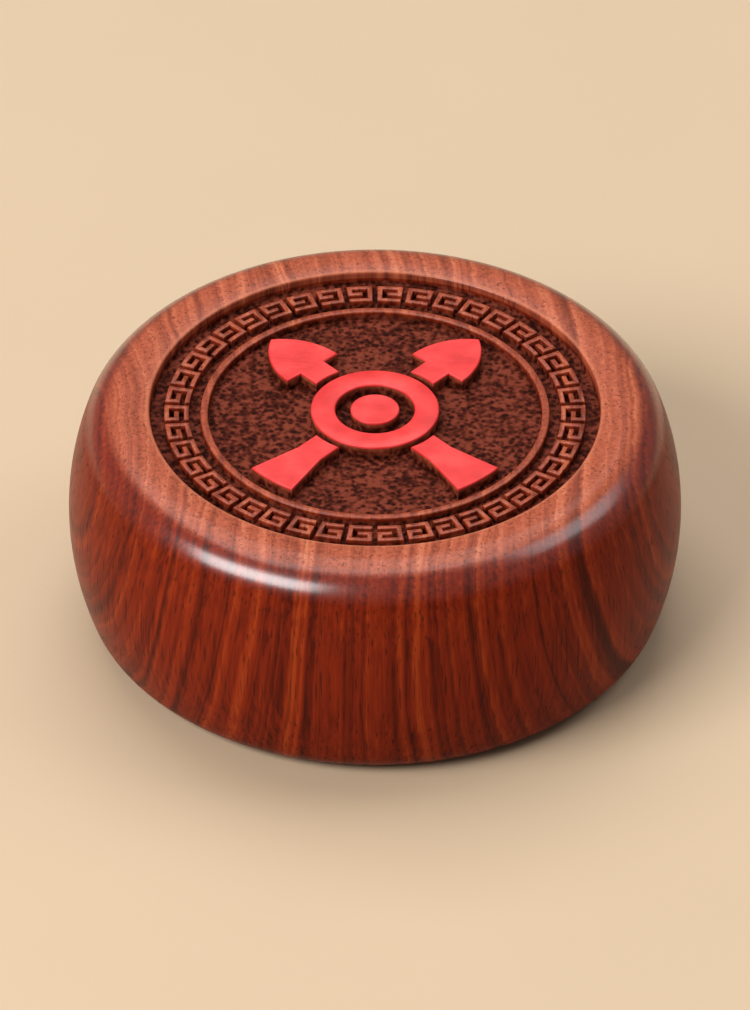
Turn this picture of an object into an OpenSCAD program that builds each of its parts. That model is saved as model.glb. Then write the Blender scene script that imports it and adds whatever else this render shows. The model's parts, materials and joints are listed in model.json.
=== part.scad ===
// A xiangqi piece, a soldier: a turned rosewood disc with a sunken face, a raised fret and a lacquered mark.
// Millimetres, +Z up. The origin is the centre of the flat base, and the mark reads upright from -Y.

/* [Turned body] */
// Largest diameter, at half height
body_d = 40; // [34:0.5:60]
// Height from the base to the rim
body_h = 16; // [12:0.5:24]
// How far the side swells out past its own top and bottom
side_swell = 1.8; // [0.8:0.1:3]
// Radius of the rounded shoulder below the rim
shoulder_r = 3; // [1:0.1:4]
// Radius of the rounded foot above the base
foot_r = 2.6; // [1:0.1:4]

/* [Sunken face] */
// Flat width of the rim
rim_w = 1.5; // [0.8:0.1:3]
// Depth of the face below the rim
face_depth = 1; // [0.6:0.05:1.6]

/* [Fret] */
// Channel between the wall of the face and the fret
moat_w = 0.95; // [0.4:0.05:2]
// Width of a fret line and of the gap beside it
fret_line = 0.32; // [0.25:0.01:0.45]
// Height of the fret above the face
fret_h = 0.6; // [0.3:0.05:0.9]

/* [Thin ring] */
// Channel between the fret and the thin ring
ring_gap = 0.75; // [0.4:0.05:1.5]
// Width of the thin ring
ring_w = 0.5; // [0.3:0.05:1]
// Height of the thin ring above the face
ring_h = 0.6; // [0.3:0.05:0.9]

/* [Mark] */
// Clear space between the thin ring and the mark
mark_margin = 0.7; // [0.4:0.1:2]
// Diameter that the sizes of the mark are drawn for, before it is scaled to the room inside the thin ring
mark_d = 20.4; // [18:0.1:24]
// Height of the raised strokes above the face
stroke_h = 0.75; // [0.4:0.05:1.2]
// Thickness of the lacquer on top of the strokes
lacquer_t = 0.15; // [0.1:0.01:0.3]
// Lean of each spear from upright, in degrees
spear_lean = 42; // [28:1:60]
// Width of a spear's shaft
shaft_w = 2; // [1:0.1:2.4]
// Length of a spear's head
head_l = 4.1; // [2.5:0.1:5]
// Width of a spear's head
head_w = 4.4; // [2.6:0.1:5]
// Length of the flare on the butt of a shaft
flare_l = 3.8; // [1.5:0.1:5]
// Width of the flare at its end
flare_w = 3.6; // [2.5:0.1:4.4]
// Outer diameter of the shield
shield_d = 8.4; // [7:0.1:9.6]
// Width of the shield's ring
shield_w = 1.6; // [0.8:0.1:2]
// Clear space between the shield's ring and its boss
boss_gap = 1; // [0.5:0.1:1.4]
// Clear space between the shield and the shafts that pass behind it
stroke_gap = 0.5; // [0.4:0.1:1]

/* [Hidden] */
$fn = 96;
// Straight steps that stand in for each half of the side's arc, and for the shoulder's and the foot's
side_steps = 12;
edge_steps = 10;
// Depth to which raised work runs down into the wood below the face
root = 0.2;
// How far a flare is drawn past the mark's edge before it is cut round
overrun = 1;

// The side is one arc through the widest point and both ends of the swell
half_h = body_h / 2;
side_r = (half_h * half_h + side_swell * side_swell) / (2 * side_swell);
side_x = body_d / 2 - side_r;

// Levels and radii of the face, each worked inwards from the rim
face_z = body_h - face_depth;
face_r = edge_x(shoulder_r) - rim_w;
fret_outer = face_r - moat_w;
hook_cells = 5;
fret_inner = fret_outer - hook_cells * fret_line;
ring_outer = fret_inner - ring_gap;
ring_inner = ring_outer - ring_w;
ring_z = face_z + ring_h;
mark_r = mark_d / 2;
mark_scale = (ring_inner - mark_margin) / mark_r;

// One hook of the fret on a grid of cells: around the ring, then outwards from its inner edge
hook = [[0, 0], [5, 0], [5, 5], [0, 5], [0, 2], [3, 2], [3, 3], [1, 3], [1, 4], [4, 4], [4, 1], [0, 1]];
half_count = floor(PI * (fret_inner + fret_outer) / 2 / ((hook_cells + 1) * fret_line));
hook_turn = 180 / half_count;
cell_turn = hook_turn / (hook_cells + 1);

// Each edge of a spear's head is an arc of this radius, upright at the base and meeting the other at the tip
leaf_r = (head_l * head_l + head_w * head_w / 4) / head_w;
// How fast each side of a butt's flare spreads along the shaft
flare_slope = (flare_w - shaft_w) / (2 * flare_l);
boss_d = shield_d - 2 * (shield_w + boss_gap);

wood = "#8f3d22";
lacquer_red = "#dd423d";

// Where the centre of an edge rounding of radius r lies, and the angle at which it runs into the side
function edge_x(r) = side_x + sqrt(pow(side_r - r, 2) - pow(half_h - r, 2));
function edge_angle(r) = atan2(half_h - r, edge_x(r) - side_x);

function arc(centre, r, from, to, steps) =
    [for (i = [0:steps]) let (a = from + (to - from) * i / steps) centre + r * [cos(a), sin(a)]];

// The same arc without its two end points, which its neighbours already hold
function arc_between(centre, r, from, to, steps) =
    let (whole = arc(centre, r, from, to, steps)) [for (i = [1:steps - 1]) whole[i]];

// Where a cell's corner falls on the ring: hooks start at -Y, and each has half a gap on either side
function on_fret(cell, turn) =
    let (r = fret_inner + cell[1] * fret_line)
    let (a = turn + (cell[0] + 0.5) * cell_turn - 90)
    r * [cos(a), sin(a)];

// Half of the turned section, from the base round the outside to the thin ring and the axis
module turned_section() {
    polygon(concat(
        [[0, 0]],
        arc([edge_x(foot_r), foot_r], foot_r, -90, -edge_angle(foot_r), edge_steps),
        arc_between([side_x, half_h], side_r, -edge_angle(foot_r), 0, side_steps),
        [[body_d / 2, half_h]],
        arc_between([side_x, half_h], side_r, 0, edge_angle(shoulder_r), side_steps),
        arc([edge_x(shoulder_r), body_h - shoulder_r], shoulder_r, edge_angle(shoulder_r), 90, edge_steps),
        [[face_r, body_h], [face_r, face_z]],
        [[ring_outer, face_z], [ring_outer, ring_z], [ring_inner, ring_z], [ring_inner, face_z]],
        [[0, face_z]]
    ));
}

module half_fret() {
    for (i = [0:half_count - 1])
        polygon([for (cell = hook) on_fret(cell, i * hook_turn)]);
}

// The hooks on the left are the mirror image of those on the right
module fret() {
    half_fret();
    mirror([1, 0]) half_fret();
}

// Head of an upright spear, from its flat base to its tip
module spear_head() {
    translate([0, mark_r - head_l])
        intersection() {
            translate([leaf_r - head_w / 2, 0]) circle(leaf_r);
            translate([head_w / 2 - leaf_r, 0]) circle(leaf_r);
            translate([-head_w, 0]) square(2 * max(head_l, head_w));
        }
}

// Head and shaft of one spear above the shield; a positive lean tips it to the left
module spear(lean) {
    rotate(lean)
        difference() {
            union() {
                spear_head();
                translate([-shaft_w / 2, 0]) square([shaft_w, mark_r - head_l / 2]);
            }
            shield_clearance();
        }
}

// Flared butt of one shaft below the shield, cut round at its end; a positive lean puts it at the right
module butt(lean) {
    neck = [shaft_w / 2, flare_l - mark_r];
    end = [flare_w / 2 + flare_slope * overrun, -mark_r - overrun];
    mirrored = [[-1, 0], [0, 1]];
    rotate(lean)
        difference() {
            intersection() {
                polygon([[shaft_w / 2, 0], neck, end, mirrored * end, mirrored * neck, [-shaft_w / 2, 0]]);
                circle(mark_r);
            }
            shield_clearance();
        }
}

module shield_clearance() {
    circle(d = shield_d + 2 * stroke_gap);
}

module shield_ring() {
    difference() {
        circle(d = shield_d);
        circle(d = shield_d - 2 * shield_w);
    }
}

module shield_boss() {
    circle(d = boss_d);
}

// A stroke as drawn, scaled so that the mark fits inside the thin ring
module fitted() {
    scale(mark_scale) children();
}

// Wood that stands up from the face to the given height
module raised(height) {
    translate([0, 0, face_z - root]) linear_extrude(height + root) children();
}

module turned_body() {
    color(wood) {
        rotate_extrude() turned_section();
        raised(fret_h) fret();
        raised(stroke_h) fitted() spear(spear_lean);
        raised(stroke_h) fitted() spear(-spear_lean);
        raised(stroke_h) fitted() butt(spear_lean);
        raised(stroke_h) fitted() butt(-spear_lean);
        raised(stroke_h) fitted() shield_ring();
        raised(stroke_h) fitted() shield_boss();
    }
}

// A film of lacquer on top of a raised stroke
module lacquer() {
    color(lacquer_red) translate([0, 0, face_z + stroke_h]) linear_extrude(lacquer_t) fitted() children();
}

module lacquer_spear_left() {
    lacquer() spear(spear_lean);
}

module lacquer_spear_right() {
    lacquer() spear(-spear_lean);
}

module lacquer_butt_left() {
    lacquer() butt(-spear_lean);
}

module lacquer_butt_right() {
    lacquer() butt(spear_lean);
}

module lacquer_shield_ring() {
    lacquer() shield_ring();
}

module lacquer_shield_boss() {
    lacquer() shield_boss();
}

turned_body();
lacquer_spear_left();
lacquer_spear_right();
lacquer_butt_left();
lacquer_butt_right();
lacquer_shield_ring();
lacquer_shield_boss();
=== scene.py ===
# %% [markdown]
# # A xiangqi piece, turned and carved in red rosewood
# The real piece starts as a disc on a lathe: the side is turned to a gentle swell, and both edges are
# rounded over. Then the top is sunk to leave a flat rim, and a fret ring, a thin ring and the strokes of
# the mark are left standing. Last, the strokes are lacquered red. The lesson follows the same order.
# Everything is in metres, in the frame of the CAD model, which is loaded first and never changed.

# %% Load the frame
import json
import math

import bmesh
import bpy
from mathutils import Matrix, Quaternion, Vector

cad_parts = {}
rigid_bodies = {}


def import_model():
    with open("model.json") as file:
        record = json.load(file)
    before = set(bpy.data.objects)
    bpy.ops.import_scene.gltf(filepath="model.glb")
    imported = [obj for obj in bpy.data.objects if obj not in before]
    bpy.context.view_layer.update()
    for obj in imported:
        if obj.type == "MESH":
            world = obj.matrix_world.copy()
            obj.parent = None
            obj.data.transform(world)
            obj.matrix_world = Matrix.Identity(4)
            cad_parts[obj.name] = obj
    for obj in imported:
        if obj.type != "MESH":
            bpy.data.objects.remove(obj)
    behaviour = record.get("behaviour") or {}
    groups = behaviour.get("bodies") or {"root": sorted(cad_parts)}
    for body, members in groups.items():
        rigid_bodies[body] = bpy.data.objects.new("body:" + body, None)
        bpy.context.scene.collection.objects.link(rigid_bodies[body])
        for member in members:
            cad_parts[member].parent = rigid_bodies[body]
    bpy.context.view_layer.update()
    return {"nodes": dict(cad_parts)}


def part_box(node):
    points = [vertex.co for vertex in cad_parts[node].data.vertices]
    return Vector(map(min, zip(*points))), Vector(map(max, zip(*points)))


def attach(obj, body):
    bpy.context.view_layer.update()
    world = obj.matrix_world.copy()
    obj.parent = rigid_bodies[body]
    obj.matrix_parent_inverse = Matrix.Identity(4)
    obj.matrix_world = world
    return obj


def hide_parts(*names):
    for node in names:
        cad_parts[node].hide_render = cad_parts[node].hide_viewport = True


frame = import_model()
print("CAD nodes:", ", ".join(frame["nodes"]))

# %% [markdown]
# ## Sizes
# What the CAD model can tell is read from its boxes. The rest are the piece's own real sizes, written in
# millimetres and turned into metres once. The radii of the face are worked inwards from the rim, so a
# change of one size moves all that depends on it.

# %% Sizes of the body
MM = 0.001
body_low, body_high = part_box("turned_body")
BODY_R = (body_high.x - body_low.x) / 2
BODY_H = body_high.z
SIDE_SWELL = 1.8 * MM
SHOULDER_R = 3.0 * MM
FOOT_R = 2.6 * MM
HALF_H = BODY_H / 2
SIDE_R = (HALF_H**2 + SIDE_SWELL**2) / (2 * SIDE_SWELL)
SIDE_X = BODY_R - SIDE_R


def edge_x(radius):
    """Distance from the turning axis to the centre of a rounded edge."""
    return SIDE_X + math.sqrt((SIDE_R - radius) ** 2 - (HALF_H - radius) ** 2)


def edge_angle(radius):
    """Height angle on the side's arc at which a rounded edge runs into it."""
    return math.degrees(math.atan2(HALF_H - radius, edge_x(radius) - SIDE_X))


print(f"body {2 * BODY_R / MM:.2f} mm across and {BODY_H / MM:.2f} mm high")

# %% Sizes of the sunken face
RIM_W = 1.5 * MM
FACE_DEPTH = 1.0 * MM
MOAT_W = 0.95 * MM
FRET_LINE = 0.32 * MM
HOOK_CELLS = 5
RELIEF_H = 0.6 * MM
RING_GAP = 0.75 * MM
RING_W = 0.5 * MM
MARK_MARGIN = 0.7 * MM
ROOT = 0.2 * MM

FACE_Z = BODY_H - FACE_DEPTH
RELIEF_Z = FACE_Z + RELIEF_H
FACE_R = edge_x(SHOULDER_R) - RIM_W
FRET_OUTER = FACE_R - MOAT_W
FRET_INNER = FRET_OUTER - HOOK_CELLS * FRET_LINE
RING_OUTER = FRET_INNER - RING_GAP
RING_INNER = RING_OUTER - RING_W
MARK_R = RING_INNER - MARK_MARGIN
print(f"face {2 * FACE_R / MM:.2f} mm across, room for a mark of {2 * MARK_R / MM:.2f} mm")

# %% [markdown]
# ## Drawing with a point
# Most outlines here are a few straight lines and arcs. They could be typed in as lists of points, but that
# would hide the centres and radii of the arcs. By hand, one would put down a single point and extrude it
# for a line, or spin it about a centre for an arc, and these helpers do just that. Spin counts its angle
# clockwise, so its sign is turned round in one place. It can also make copies instead of a sweep.

# %% Helpers for drawing an outline
UP = Vector((0, 0, 1))
SAME_POINT = 0.001 * MM


def start_at(name, place):
    """Collapse a new plane to one point, and move it to where the drawing starts."""
    bpy.ops.object.select_all(action="DESELECT")
    bpy.ops.mesh.primitive_plane_add(size=MM)
    piece = bpy.context.object
    piece.name = piece.data.name = name
    bpy.ops.object.mode_set(mode="EDIT")
    bpy.ops.mesh.select_mode(type="VERT")
    bpy.ops.mesh.select_all(action="SELECT")
    bpy.ops.mesh.merge(type="CENTER")
    bpy.ops.transform.translate(value=place)
    return piece


def pen():
    """Where the drawing point is now."""
    mesh = bmesh.from_edit_mesh(bpy.context.object.data)
    return next(point.co.copy() for point in mesh.verts if point.select)


def line_to(place):
    bpy.ops.mesh.extrude_vertices_move(TRANSFORM_OT_translate={"value": Vector(place) - pen()})


def arc(centre, degrees, steps, axis=UP, copies=False):
    """Spin what is selected about a centre, anticlockwise as seen from the axis's tip."""
    angle = -math.radians(degrees)
    bpy.ops.mesh.spin(steps=steps, dupli=copies, angle=angle, center=centre, axis=axis)


def merge_doubles():
    bpy.ops.mesh.select_all(action="SELECT")
    bpy.ops.mesh.remove_doubles(threshold=SAME_POINT)


# %% [markdown]
# ## The turned body
# A turner cuts the section of the disc into the wood as it spins. Here the same section is drawn once,
# from the middle of the base round the outside to the middle of the face, and spun a full turn. A Screw
# modifier could sweep it too, but spin leaves plain edges at once, ready for the bevels that come next. The
# side is one long arc, and the arcs of the foot and the shoulder run into it without a corner.

# %% Draw the section and spin it
SECTION_AXIS = Vector((0, -1, 0))
TURN_STEPS = 240
FOOT_STEPS = 14
SIDE_STEPS = 28
SHOULDER_STEPS = 16
body = start_at("turned_body_wood", (0, 0, 0))
line_to((edge_x(FOOT_R), 0, 0))
arc((edge_x(FOOT_R), 0, FOOT_R), 90 - edge_angle(FOOT_R), FOOT_STEPS, SECTION_AXIS)
arc((SIDE_X, 0, HALF_H), edge_angle(FOOT_R) + edge_angle(SHOULDER_R), SIDE_STEPS, SECTION_AXIS)
shoulder_centre = (edge_x(SHOULDER_R), 0, BODY_H - SHOULDER_R)
arc(shoulder_centre, 90 - edge_angle(SHOULDER_R), SHOULDER_STEPS, SECTION_AXIS)
for across, height in [(FACE_R, BODY_H), (FACE_R, FACE_Z), (RING_OUTER, FACE_Z), (RING_OUTER, RELIEF_Z),
                       (RING_INNER, RELIEF_Z), (RING_INNER, FACE_Z), (0, FACE_Z)]:
    line_to((across, 0, height))
bpy.ops.mesh.select_all(action="SELECT")
arc((0, 0, 0), 360, TURN_STEPS)
merge_doubles()
print("section spun:", len(bmesh.from_edit_mesh(body.data).faces), "faces")

# %% [markdown]
# ## Softened edges
# Sandpaper never leaves a knife edge. A Bevel modifier could soften all sharp edges at once, but each of
# these wants its own width. So the lip of the rim, the corner at the foot of its wall and the two edges of
# the thin ring are found by their radius and height, and each gets its own small bevel.

# %% Helpers for finding edges
SHARP = math.radians(38)
SAME_PLACE = 0.01 * MM


def near(one, other):
    return abs(one - other) < SAME_PLACE


def on_circle(across, height):
    return lambda place: near(place.xy.length, across) and near(place.z, height)


def select_edges(test):
    """Select the sharp edges whose two ends both pass a test of their place."""
    bpy.ops.mesh.select_mode(type="EDGE")
    bpy.ops.mesh.select_all(action="DESELECT")
    mesh = bmesh.from_edit_mesh(bpy.context.object.data)
    sharp = [edge for edge in mesh.edges if edge.calc_face_angle(0) > SHARP]
    chosen = [edge for edge in sharp if all(test(end.co) for end in edge.verts)]
    for edge in chosen:
        edge.select_set(True)
    return len(chosen)


# %% Bevel the lip and the thin ring
LIP_BEVEL = 0.2 * MM
WALL_BEVEL = 0.15 * MM
RING_BEVEL = 0.1 * MM
BEVEL_STEPS = 3


def leave_edit():
    """Point all faces outwards, and go back to object mode."""
    bpy.ops.mesh.select_all(action="SELECT")
    bpy.ops.mesh.normals_make_consistent(inside=False)
    bpy.ops.object.mode_set(mode="OBJECT")


for across, height, width in [(FACE_R, BODY_H, LIP_BEVEL), (FACE_R, FACE_Z, WALL_BEVEL),
                              (RING_OUTER, RELIEF_Z, RING_BEVEL), (RING_INNER, RELIEF_Z, RING_BEVEL)]:
    picked = select_edges(on_circle(across, height))
    bpy.ops.mesh.bevel(offset=width, segments=BEVEL_STEPS, affect="EDGES")
    print(f"bevelled {picked} edges {across / MM:.2f} mm from the axis")
leave_edit()

# %% [markdown]
# ## The fret ring
# The fret is a row of hooks, each a line that turns in on itself. One hook is drawn on the face: its
# outline goes around the ring for some cells, then straight out or in for some, six times. Then it is
# raised. An Array modifier could repeat it, but would need a second object to turn by. Spin needs only the
# centre: it lays copies along half of the ring, and a Mirror modifier makes the other half, so that the
# fret is the same on both sides of the mark.


# %% Helpers for raising an outline
def close_and_fill():
    """Join the end of an outline to its start, and span it with one face."""
    merge_doubles()
    bpy.ops.mesh.edge_face_add()


def lift(height):
    bpy.ops.mesh.extrude_region_move(TRANSFORM_OT_translate={"value": height * UP})


def bevel_top(height, width, steps):
    """Round the edges that lie at one height, where a top meets its sides."""
    select_edges(lambda place: near(place.z, height))
    bpy.ops.mesh.bevel(offset=width, segments=steps, affect="EDGES")


# %% Draw one hook and repeat it
HOOK_MOVES = [(5, 5), (-5, -3), (3, 1), (-2, 1), (3, -3), (-4, -1)]
CELL_STEPS = 2
HOOK_BEVEL = 0.06 * MM
HOOK_BEVEL_STEPS = 2
half_count = math.floor(math.pi * (FRET_INNER + FRET_OUTER) / 2 / ((HOOK_CELLS + 1) * FRET_LINE))
hook_turn = 180 / half_count
cell_turn = hook_turn / (HOOK_CELLS + 1)
first_angle = math.radians(cell_turn / 2 - 90)
first_corner = FRET_INNER * Vector((math.cos(first_angle), math.sin(first_angle), 0))

fret = start_at("fret_hooks", first_corner + (FACE_Z - ROOT) * UP)
for around, outward in HOOK_MOVES:
    arc((0, 0, 0), around * cell_turn, CELL_STEPS * abs(around))
    here = pen()
    line_to(here + outward * FRET_LINE * Vector((here.x, here.y, 0)).normalized())
close_and_fill()
lift(RELIEF_H + ROOT)
bevel_top(RELIEF_Z, HOOK_BEVEL, HOOK_BEVEL_STEPS)
bpy.ops.mesh.select_all(action="SELECT")
arc((0, 0, 0), 180 - hook_turn, half_count - 1, copies=True)
leave_edit()
other_half = fret.modifiers.new("other_half", "MIRROR")
other_half.use_mirror_merge = False
bpy.ops.object.modifier_apply(modifier=other_half.name)
print("hooks:", 2 * half_count, "faces:", len(fret.data.polygons))

# %% [markdown]
# ## Outlines of the mark
# The mark is two crossed spears behind a round shield, a plain emblem for a foot soldier. A spear shows
# twice: its head above the shield, and its flared butt below. Both are drawn upright, because a leaning
# outline would be hard to read, and are leaned over later. The sizes are those of a mark 20.4 mm across,
# fitted to the room inside the thin ring.

# %% Sizes of the mark
DRAWN_D = 20.4 * MM
FIT = 2 * MARK_R / DRAWN_D
SPEAR_LEAN = 42
HALF_SHAFT = 1.0 * MM * FIT
HEAD_L = 4.1 * MM * FIT
HALF_HEAD = 2.2 * MM * FIT
FLARE_L = 3.8 * MM * FIT
HALF_FLARE = 1.8 * MM * FIT
FLARE_SLOPE = (HALF_FLARE - HALF_SHAFT) / FLARE_L
shield_low, shield_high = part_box("lacquer_shield_ring")
SHIELD_R = (shield_high.x - shield_low.x) / 2
SHIELD_W = 1.6 * MM * FIT
BOSS_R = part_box("lacquer_shield_boss")[1].x
STROKE_GAP = 0.5 * MM * FIT
CLEAR_R = SHIELD_R + STROKE_GAP

HEAD_BASE = MARK_R - HEAD_L
LEAF_R = (HEAD_L**2 + HALF_HEAD**2) / (2 * HALF_HEAD)
leaf_angle = math.degrees(math.asin(HEAD_L / LEAF_R))
shaft_start = math.sqrt(CLEAR_R**2 - HALF_SHAFT**2)
shaft_angle = math.degrees(math.asin(HALF_SHAFT / CLEAR_R))
print(f"mark {2 * MARK_R / MM:.2f} mm across, shield {2 * SHIELD_R / MM:.2f} mm")

# %% Draw a spear and a butt
SHAFT_STEPS = 6
HEAD_STEPS = 14
BUTT_STEPS = 10


def draw_spear(name, z):
    """An upright spear: a shaft from the shield's edge, then a pointed head made of two arcs."""
    piece = start_at(name, (-HALF_SHAFT, shaft_start, z))
    arc((0, 0, z), -2 * shaft_angle, SHAFT_STEPS)
    line_to((HALF_SHAFT, HEAD_BASE, z))
    line_to((HALF_HEAD, HEAD_BASE, z))
    arc((HALF_HEAD - LEAF_R, HEAD_BASE, z), leaf_angle, HEAD_STEPS)
    arc((LEAF_R - HALF_HEAD, HEAD_BASE, z), leaf_angle, HEAD_STEPS)
    line_to((-HALF_SHAFT, HEAD_BASE, z))
    line_to((-HALF_SHAFT, shaft_start, z))
    close_and_fill()
    return piece


def draw_butt(name, z):
    """The lower end of an upright spear: a shaft that flares, cut round where the mark ends."""
    neck = MARK_R - FLARE_L
    # The flare's side meets the mark's edge one run past the neck, where a * run**2 + 2 * b * run + c is 0
    a = FLARE_SLOPE**2 + 1
    b = HALF_SHAFT * FLARE_SLOPE + neck
    c = HALF_SHAFT**2 + neck**2 - MARK_R**2
    run = (math.sqrt(b * b - a * c) - b) / a
    corner = Vector((HALF_SHAFT + FLARE_SLOPE * run, -neck - run, z))
    piece = start_at(name, (-HALF_SHAFT, -shaft_start, z))
    arc((0, 0, z), 2 * shaft_angle, SHAFT_STEPS)
    line_to((HALF_SHAFT, -neck, z))
    line_to(corner)
    arc((0, 0, z), -2 * math.degrees(math.asin(corner.x / MARK_R)), BUTT_STEPS)
    line_to((-HALF_SHAFT, -neck, z))
    line_to((-HALF_SHAFT, -shaft_start, z))
    close_and_fill()
    return piece


# %% Draw the shield
DISC_STEPS = 96


def draw_disc(name, radius, z):
    bpy.ops.object.select_all(action="DESELECT")
    bpy.ops.mesh.primitive_circle_add(vertices=DISC_STEPS, radius=radius, fill_type="NGON")
    piece = bpy.context.object
    piece.name = piece.data.name = name
    bpy.ops.object.mode_set(mode="EDIT")
    bpy.ops.mesh.select_mode(type="FACE")
    bpy.ops.mesh.select_all(action="SELECT")
    bpy.ops.transform.translate(value=z * UP)
    return piece


def draw_shield_boss(name, z):
    return draw_disc(name, BOSS_R, z)


def draw_shield_ring(name, z):
    """A disc whose middle is inset and cut out."""
    piece = draw_disc(name, SHIELD_R, z)
    bpy.ops.mesh.inset(thickness=SHIELD_W)
    bpy.ops.mesh.delete(type="FACE")
    return piece


# %% [markdown]
# ## Strokes in wood and lacquer
# Each stroke stands on its own island of wood and carries a film of lacquer. One drawing serves both: it
# is raised low for the wood, and on top of that for the lacquer, whose edge a brush leaves rounded. A
# stroke that has a partner on the other side is copied, and the copy is mirrored.


# %% Helpers for the strokes
def raise_stroke(draw, name, low, high, bevel, lean):
    """Lift an outline to its height, round its top edge and lean it about the turning axis."""
    piece = draw(name, low)
    bpy.ops.mesh.select_all(action="SELECT")
    lift(high - low)
    bevel_top(high, bevel, BEVEL_STEPS)
    bpy.ops.mesh.select_all(action="SELECT")
    # With no window open, this operator counts its angle clockwise too
    bpy.ops.transform.rotate(value=-math.radians(lean), orient_axis="Z", center_override=(0, 0, 0))
    leave_edit()
    return piece


def pick(piece):
    """Make one piece the only selected and active one."""
    bpy.ops.object.select_all(action="DESELECT")
    piece.select_set(True)
    bpy.context.view_layer.objects.active = piece


def mirrored_copy(piece, name):
    pick(piece)
    bpy.ops.object.duplicate(linked=False)
    copy = bpy.context.object
    copy.name = copy.data.name = name
    bpy.ops.object.mode_set(mode="EDIT")
    bpy.ops.mesh.select_all(action="SELECT")
    bpy.ops.transform.resize(value=(-1, 1, 1), center_override=(0, 0, 0))
    leave_edit()
    return copy


# %% Raise the strokes
STROKES = [("spear", draw_spear, SPEAR_LEAN, ["_left", "_right"]),
           ("butt", draw_butt, SPEAR_LEAN, ["_right", "_left"]),
           ("shield_ring", draw_shield_ring, 0, [""]),
           ("shield_boss", draw_shield_boss, 0, [""])]
LACQUER_LOW = shield_low.z
LACQUER_HIGH = shield_high.z
ISLAND_BEVEL = 0.02 * MM
FILM_BEVEL = 0.1 * MM
islands = []
films = {}
for stroke, draw, lean, sides in STROKES:
    node = "lacquer_" + stroke + sides[0]
    islands.append(raise_stroke(draw, "island_" + stroke, FACE_Z - ROOT, LACQUER_LOW, ISLAND_BEVEL, lean))
    films[node] = raise_stroke(draw, node + "_film", LACQUER_LOW, LACQUER_HIGH, FILM_BEVEL, lean)
    for side in sides[1:]:
        partner = "lacquer_" + stroke + side
        islands.append(mirrored_copy(islands[-1], "island_" + stroke + side))
        films[partner] = mirrored_copy(films[node], partner + "_film")
for node, film in films.items():
    cad_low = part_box(node)[0]
    film_low = Vector(min(corner[i] for corner in film.bound_box) for i in range(3))
    off = (film_low - cad_low).length / MM
    print(f"{node}: {len(film.data.polygons)} faces, {off:.3f} mm off the lowest corner of its CAD box")

# %% [markdown]
# ## One piece of wood
# On the real piece the fret and the strokes aren't glued on: they are what the carver left standing. To
# join the meshes into one object would be quicker, but would leave walls buried in the wood. So the hooks
# and the islands, whose roots reach a little into the face, become one with the body by a union. Where two
# edges almost meet, a union leaves points a hair apart, so these are merged afterwards.

# %% Join the raised work to the body
for raised in [fret] + islands:
    pick(body)
    union = body.modifiers.new("left_standing", "BOOLEAN")
    union.operation = "UNION"
    union.solver = "EXACT"
    union.object = raised
    bpy.ops.object.modifier_apply(modifier=union.name)
    bpy.data.objects.remove(raised)
bpy.ops.object.mode_set(mode="EDIT")
merge_doubles()
leave_edit()
print("carved body:", len(body.data.polygons), "faces")

# %% [markdown]
# ## Smooth curves, flat tops
# Smooth shading hides the facets of the arcs and leaves the sharp corners sharp. On a film it would also
# bend the light over the flat top, because the rounded edge around it is smooth too. A Weighted Normal
# modifier lets the large top face decide, so that it stays flat.

# %% Shade the pieces
for piece in [body, *films.values()]:
    pick(piece)
    bpy.ops.object.shade_smooth_by_angle(angle=SHARP)
for film in films.values():
    pick(film)
    flat_top = film.modifiers.new("flat_top", "WEIGHTED_NORMAL")
    flat_top.keep_sharp = True
    bpy.ops.object.modifier_apply(modifier=flat_top.name)
print("shaded:", body.name, "and", len(films), "films")

# %% [markdown]
# ## Writing finishes as sums
# A finish is a network of nodes, but most of it is plain arithmetic on a few values, such as how far a
# point lies from the turning axis. A small class wraps a socket, so that the arithmetic can be written as
# Python expressions, and each operator adds its Math node. One method makes every other kind of node.


# %% A value on the surface
class Wire:
    """A value that changes over the surface, held as the socket that it comes out of."""

    def __init__(self, finish, socket):
        self.finish = finish
        self.socket = socket

    def maths(self, operation, one, other):
        return self.finish.node("Math", {"operation": operation}, {0: one, 1: other})

    def __add__(self, other):
        return self.maths("ADD", self, other)

    def __sub__(self, other):
        return self.maths("SUBTRACT", self, other)

    def __rsub__(self, other):
        return self.maths("SUBTRACT", other, self)

    def __mul__(self, other):
        return self.maths("MULTIPLY", self, other)

    def __pow__(self, other):
        return self.maths("POWER", self, other)

    __radd__ = __add__
    __rmul__ = __mul__

    def rise(self, low, high):
        """Run smoothly from 0 at low to 1 at high."""
        sockets = {"Value": self, "From Min": low, "From Max": high}
        return self.finish.node("MapRange", {"interpolation_type": "SMOOTHSTEP"}, sockets)


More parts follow.
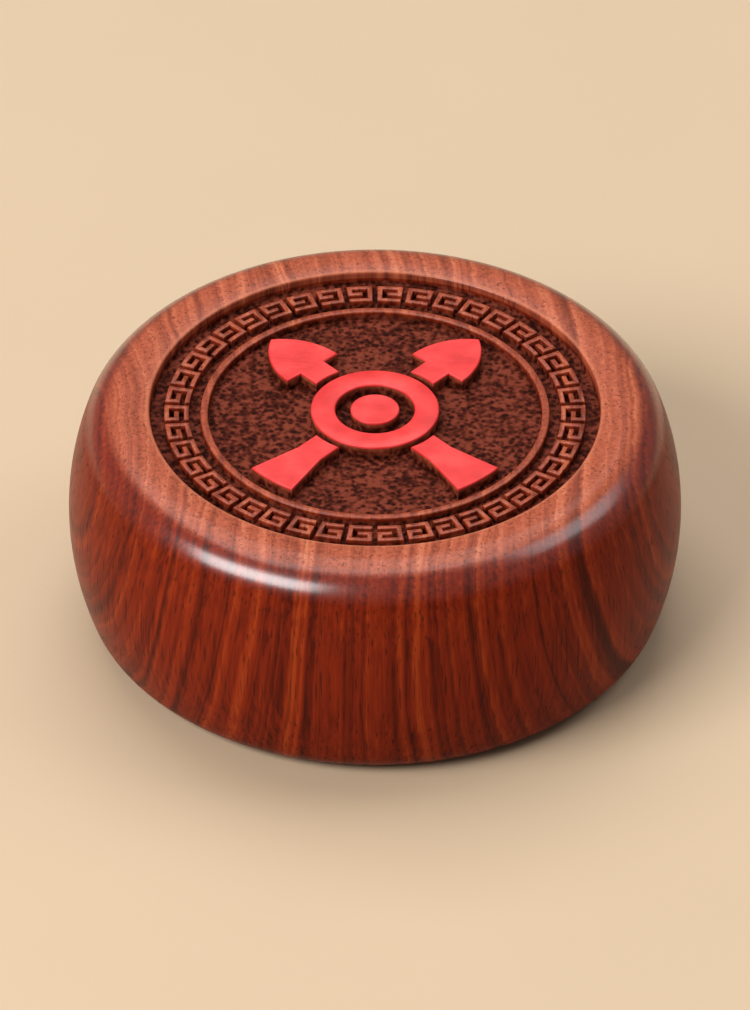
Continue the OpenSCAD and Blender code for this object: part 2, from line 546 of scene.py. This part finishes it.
# %% A finish in the making
class Finish:
    """A material whose Principled shader is filled in socket by socket."""

    def __init__(self, name):
        self.material = bpy.data.materials.new(name)
        self.material.use_nodes = True
        self.tree = self.material.node_tree
        self.surface = self.tree.nodes["Principled BSDF"]

    def node(self, kind, settings, sockets, output=0):
        """Make a node, set it up, fill or link its sockets, and give back one of its outputs."""
        made = self.tree.nodes.new("ShaderNode" + kind)
        for key, value in settings.items():
            if key == "stops":
                self.fill_ramp(made.color_ramp, value)
            else:
                setattr(made, key, value)
        for key, value in sockets.items():
            self.join(made.inputs[key], value)
        return Wire(self, made.outputs[output])

    def fill_ramp(self, ramp, stops):
        while len(ramp.elements) < len(stops):
            ramp.elements.new(1)
        for element, (place, colour) in zip(ramp.elements, stops):
            element.position = place
            element.color = (*colour, 1)

    def join(self, socket, value):
        if isinstance(value, Wire):
            self.tree.links.new(value.socket, socket)
        else:
            socket.default_value = value

    def set(self, **sockets):
        for key, value in sockets.items():
            self.join(self.surface.inputs[key.replace("_", " ")], value)

    def place(self):
        """The point on the piece, in millimetres."""
        point = self.node("TexCoord", {}, {}, "Object")
        return self.node("VectorMath", {"operation": "SCALE"}, {0: point, "Scale": 1 / MM})

    def split(self, point):
        parts = self.node("SeparateXYZ", {}, {0: point}).socket.node.outputs
        return [Wire(self, part) for part in parts]

    def noise(self, point, per_mm, detail=2.0):
        """Noise with so many changes per millimetre along x, y and z."""
        point = self.node("VectorMath", {"operation": "MULTIPLY"}, {0: point, 1: per_mm})
        return self.node("TexNoise", {}, {"Vector": point, "Scale": 1, "Detail": detail})

    def noise_along(self, value, per_mm, detail, roughness=0.65):
        """Noise that changes along one value only."""
        sockets = {"W": value, "Scale": per_mm, "Detail": detail, "Roughness": roughness}
        return self.node("TexNoise", {"noise_dimensions": "1D"}, sockets)

    def ramp(self, value, stops):
        return self.node("ValToRGB", {"stops": stops}, {0: value})

    def mix(self, amount, one, other):
        """Go from one colour to the other as the amount goes from 0 to 1."""
        # A Mix node takes its two colours at inputs 6 and 7, and gives their mix at output 2
        return self.node("Mix", {"data_type": "RGBA"}, {0: amount, 6: one, 7: other}, 2)

    def bump(self, height, depth):
        return self.node("Bump", {}, {"Height": height, "Distance": depth, "Strength": 1})


# %% [markdown]
# ## Growth layers of the rosewood
# The disc is sliced from a turned rod, so the grain stands upright: growth layers show as upright streaks
# on the side and cross the rim, and pores are dashes on the side and dots on top. A picture of wood would
# only clothe the surface. Noise fills space, so the rim, the side and the base cut through the same layers,
# as they do in real wood. The layers are a noise that only changes with the distance from the heart of the
# tree, which lies far off to the left, and two slower noises make them wander and ripple. A trunk tapers,
# so the layers also draw together towards the top: without that, the swell of the side would cut them into
# round targets at its left and right ends. Broad growth, thin ink lines and fibres are separate noises, so
# that each can have its own scale.

# %% Growth, ink lines, fibres and pores
rosewood = Finish("rosewood")
point = rosewood.place()
x, y, z = rosewood.split(point)
axis_distance = (x * x + y * y) ** 0.5
HEART_X, HEART_Y = -94, -6
TAPER = 0.018
INK_SHIFT = 200
fibre = rosewood.noise(point, (3.2, 3.2, 0.14), 3)
wander = 3.0 * rosewood.noise(point, (0.06, 0.06, 0.03))
ripple = 0.7 * rosewood.noise(point, (0.35, 0.35, 0.08)) + 0.3 * fibre
layer = ((x - HEART_X) ** 2 + (y - HEART_Y) ** 2) ** 0.5 + TAPER * x * z + wander + ripple
growth = rosewood.noise_along(layer, 0.8, 5)
ink = rosewood.noise_along(layer + INK_SHIFT, 1.3, 3).rise(0.58, 0.70)
pore = rosewood.noise(point, (6.5, 6.5, 0.4), 0).rise(0.66, 0.76)
streak = growth + 0.45 * (fibre - 0.5)
print("grain:", len(rosewood.tree.nodes), "nodes")

# %% [markdown]
# ## Waxed side, sanded rim, darkened ground
# The same wood shows three finishes. The side was waxed, which makes it deep, and hands have polished its
# shoulder to a gloss. The flat rim and the tops of the raised work were sanded last, so they are duller.
# Their paler colour is partly that sanding and partly painted light: the same grain made lighter, as tops
# lit from above look. The rim's lip is paler still. The ground of the sunken face was stippled with a punch
# and darkened with a stain that took unevenly, so that the raised work stands out. Each finish could be a
# material of its own, but then its border would follow the faces of the mesh. So one material blends them,
# by the height and by the distance from the turning axis, both in millimetres.

# %% How far each finish reaches
rim_z, relief_z, face_z = [height / MM for height in (BODY_H, RELIEF_Z, FACE_Z)]
rim_r, field_r = [radius / MM for radius in (FACE_R, RING_INNER)]
BLEND = 0.1
# Down from the top of the rim, down from the top of the relief, and out from the lip
RIM_SANDED_AND_LIT = 0.5
RELIEF_SANDED_AND_LIT = 0.15
LIP_PALE = 0.4
# Down the shoulder from the top of the rim
SHOULDER_POLISHED = 2.0
# Up from the ground before it fades, up the strokes past the relief, and down into the wood
STAIN_FULL = 0.15
STAIN_CLIMB = 0.5
STAIN_DEPTH = 1.0
print(f"the rim starts {rim_r:.2f} mm from the axis, the ground lies {face_z:.2f} mm up")

# %% Where each finish lies
inside_rim = 1 - axis_distance.rise(rim_r, rim_r + BLEND)
rim_top = z.rise(rim_z - RIM_SANDED_AND_LIT, rim_z - BLEND / 2) * (1 - inside_rim)
pale_lip = rim_top * (1 - axis_distance.rise(rim_r + BLEND, rim_r + LIP_PALE))
polished = z.rise(rim_z - SHOULDER_POLISHED, rim_z - SHOULDER_POLISHED / 2) * (1 - inside_rim)
relief_top = z.rise(relief_z - RELIEF_SANDED_AND_LIT, relief_z) * inside_rim
in_field = 1 - axis_distance.rise(field_r - 3 * BLEND, field_r - BLEND)
stain_top = relief_z - BLEND / 2 + STAIN_CLIMB * in_field
above_base = z.rise(face_z - STAIN_DEPTH, face_z - STAIN_DEPTH + BLEND)
sunk = (1 - z.rise(face_z + STAIN_FULL, stain_top)) * inside_rim * above_base
print("finishes laid out:", len(rosewood.tree.nodes), "nodes")

# %% Colours of the wood
waxed = rosewood.ramp(streak, [(0.30, (0.066, 0.0060, 0.0018)), (0.46, (0.150, 0.0125, 0.0030)),
                               (0.58, (0.200, 0.0180, 0.0038)), (0.74, (0.290, 0.0370, 0.0065))])
waxed = rosewood.mix(0.40 * ink, waxed, (0.040, 0.005, 0.002, 1))
waxed = rosewood.mix(0.5 * pore, waxed, (0.025, 0.004, 0.002, 1))
# Paler colours for the rim and the relief tops: partly sanded wood, partly painted light from above
sanded_and_toplit = rosewood.ramp(streak, [(0.30, (0.220, 0.046, 0.022)), (0.46, (0.330, 0.072, 0.034)),
                                (0.58, (0.410, 0.096, 0.046)), (0.74, (0.520, 0.150, 0.072))])
sanded_and_toplit = rosewood.mix(0.35 * ink, sanded_and_toplit, (0.130, 0.024, 0.012, 1))
sanded_and_toplit = rosewood.mix(0.6 * pore, sanded_and_toplit, (0.080, 0.016, 0.008, 1))
stipple = rosewood.node("TexVoronoi", {}, {"Vector": point, "Scale": 2.6}).rise(0.05, 0.65)
speck = 0.75 * rosewood.noise(point, (2.2, 2.2, 2.2), 4) + 0.25 * stipple
stained = speck + 0.35 * (rosewood.noise(point, (0.55, 0.55, 0.55)) - 0.5)
ground = rosewood.ramp(stained, [(0.38, (0.020, 0.0032, 0.0016)), (0.54, (0.060, 0.0096, 0.0046)),
                                 (0.70, (0.170, 0.034, 0.018))])
# The tops take the paler colours, so they carry sanding and painted top light together
wood_colour = rosewood.mix(rim_top, waxed, sanded_and_toplit)
# Paler towards the inner lip of the rim
wood_colour = rosewood.mix(0.35 * pale_lip, wood_colour, (0.600, 0.200, 0.100, 1))
wood_colour = rosewood.mix(0.6 * relief_top, wood_colour, sanded_and_toplit)
rosewood.set(Base_Color=rosewood.mix(sunk, wood_colour, ground))
print("wood colours:", len(rosewood.tree.nodes), "nodes")

# %% Gloss and grain of the wood
rosewood.set(Roughness=0.26 + 0.10 * fibre + 0.15 * pore + 0.3 * sunk + 0.15 * rim_top)
rosewood.set(Coat_Weight=(0.05 + 0.95 * polished + 0.2 * relief_top) * (1 - sunk) * (1 - 0.75 * rim_top))
rosewood.set(Coat_Roughness=0.23, Coat_IOR=1.65, Specular_IOR_Level=0.04)
relief = 0.10 * fibre - 0.7 * pore + 3.0 * sunk * speck
rosewood.set(Normal=rosewood.bump(relief, 0.015 * MM))
body.data.materials.append(rosewood.material)
print("rosewood:", len(rosewood.tree.nodes), "nodes")

# %% [markdown]
# ## Red lacquer
# The strokes were painted with a small brush and a thick red lacquer, so the film is a little uneven. It is
# darker where it is thin and the wood shows through, and faint brush marks run across it. One noise stands
# for the thickness and drives the colour and the bump alike, so that the two agree.

# %% Red lacquer
red_lacquer = Finish("red_lacquer")
point = red_lacquer.place()
thickness = red_lacquer.noise(point, (0.5, 0.5, 0.5), 3)
brush_mark = red_lacquer.noise(point, (0.9, 5.0, 0.9))
lacquer_colour = red_lacquer.ramp(thickness, [(0.32, (0.580, 0.020, 0.020)), (0.50, (0.680, 0.032, 0.030)),
                                              (0.68, (0.760, 0.052, 0.046))])
red_lacquer.set(Base_Color=lacquer_colour)
red_lacquer.set(Roughness=0.28 + 0.16 * brush_mark)
red_lacquer.set(Specular_IOR_Level=0.35)
red_lacquer.set(Normal=red_lacquer.bump(thickness + 0.3 * brush_mark, 0.03 * MM))
for film in films.values():
    film.data.materials.append(red_lacquer.material)
print("red lacquer:", len(red_lacquer.tree.nodes), "nodes")

# %% [markdown]
# ## Riding on the frame
# Nothing on the piece moves, so all of it rides on the one body of the frame. The carved body and each
# film stand in for the CAD solid of the same part.

# %% Ride and replace
for node, piece in {"turned_body": body, **films}.items():
    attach(piece, "root")
    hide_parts(node)
    "rosewood" if piece == body else "red_lacquer"
    print(piece.name, "stands in for", node)

# %% [markdown]
# ## Floor
# The piece stands on a plain pale floor, which is stage and not part of the object. Its colour is a warm
# cream with the faintest mottle, so that it doesn't look like cut paper.

# %% Floor
FLOOR_W = 4
bpy.ops.object.select_all(action="DESELECT")
bpy.ops.mesh.primitive_plane_add(size=FLOOR_W)
floor = bpy.context.object
floor.name = "floor"
cream = Finish("cream_floor")
mottle = cream.noise(cream.place(), (0.05, 0.05, 0.05))
cream.set(Base_Color=cream.ramp(mottle, [(0.3, (0.545, 0.405, 0.266)), (0.7, (0.555, 0.413, 0.272))]))
cream.set(Roughness=0.75)
floor.data.materials.append(cream.material)
print(f"floor {floor.dimensions.x:.0f} m across")

# %% [markdown]
# ## Light
# A large panel behind the piece lights the face. A strip on the left and a smaller panel on the right draw
# the highlights on the shoulder, which on the real piece run along its front left and its right. A
# highlight follows the bend of the shoulder only when its light is rolled about the line to the piece, so
# the helper takes a roll as well as a place. A weak white world fills the shadows, and the Standard view
# keeps the reds as strong as they are set.

# %% Lights
middle = Vector((0, 0, HALF_H))


def soft_light(name, place, size, watts, roll=0):
    """An area light that faces the middle of the piece."""
    lamp = bpy.data.lights.new(name, "AREA")
    lamp.shape = "RECTANGLE"
    lamp.size, lamp.size_y = size
    lamp.energy = watts
    holder = bpy.data.objects.new(name, lamp)
    bpy.context.scene.collection.objects.link(holder)
    holder.location = place
    facing = (middle - holder.location).to_track_quat("-Z", "Y")
    holder.rotation_euler = (facing @ Quaternion(UP, math.radians(roll))).to_euler()
    print(f"{name}: {size[0]:.2f} by {size[1]:.2f} m, {watts} W")


soft_light("rear_panel", (-0.05, 0.25, 0.574), (0.50, 0.50), 2.6)
soft_light("left_strip", (-0.355, -0.284, 0.40), (0.42, 0.24), 3.8, roll=17)
soft_light("right_panel", (0.382, 0.109, 0.46), (0.33, 0.28), 0.8, roll=-48)

# %% Fill light from all round
FILL_STRENGTH = 0.2
studio = bpy.data.worlds.new("studio")
studio.use_nodes = True
fill = studio.node_tree.nodes["Background"].inputs
fill["Color"].default_value = (1, 1, 1, 1)
fill["Strength"].default_value = FILL_STRENGTH
bpy.context.scene.world = studio
bpy.context.scene.view_settings.view_transform = "Standard"
print("fill light:", FILL_STRENGTH)

# %% [markdown]
# ## Camera
# The photograph looks down at about 37 degrees from some 1.65 m away. The camera stands there too, and a
# long lens brings the piece close without changing how its circles foreshorten. A camera's sensor width
# belongs to the longer side of the picture, which is upright here, so the lens is found from the height.

# %% Camera
CAMERA_TILT = math.radians(37.4)
CAMERA_DISTANCE = 1.65
PICTURE_W, PICTURE_H = 750, 1010
VIEW_W = 49 * MM
VIEW_H = VIEW_W * PICTURE_H / PICTURE_W
lens = bpy.data.cameras.new("photo_view")
lens.lens = lens.sensor_width * CAMERA_DISTANCE / VIEW_H
camera = bpy.data.objects.new("photo_view", lens)
bpy.context.scene.collection.objects.link(camera)
camera.location = middle + CAMERA_DISTANCE * Vector((0, -math.cos(CAMERA_TILT), math.sin(CAMERA_TILT)))
camera.rotation_euler = (middle - camera.location).to_track_quat("-Z", "Y").to_euler()
bpy.context.scene.camera = camera
print(f"lens {lens.lens:.0f} mm, view {VIEW_W / MM:.0f} mm wide")

# %% [markdown]
# ## The end
# Nothing more is built.

# %% Finish
print("scene built")
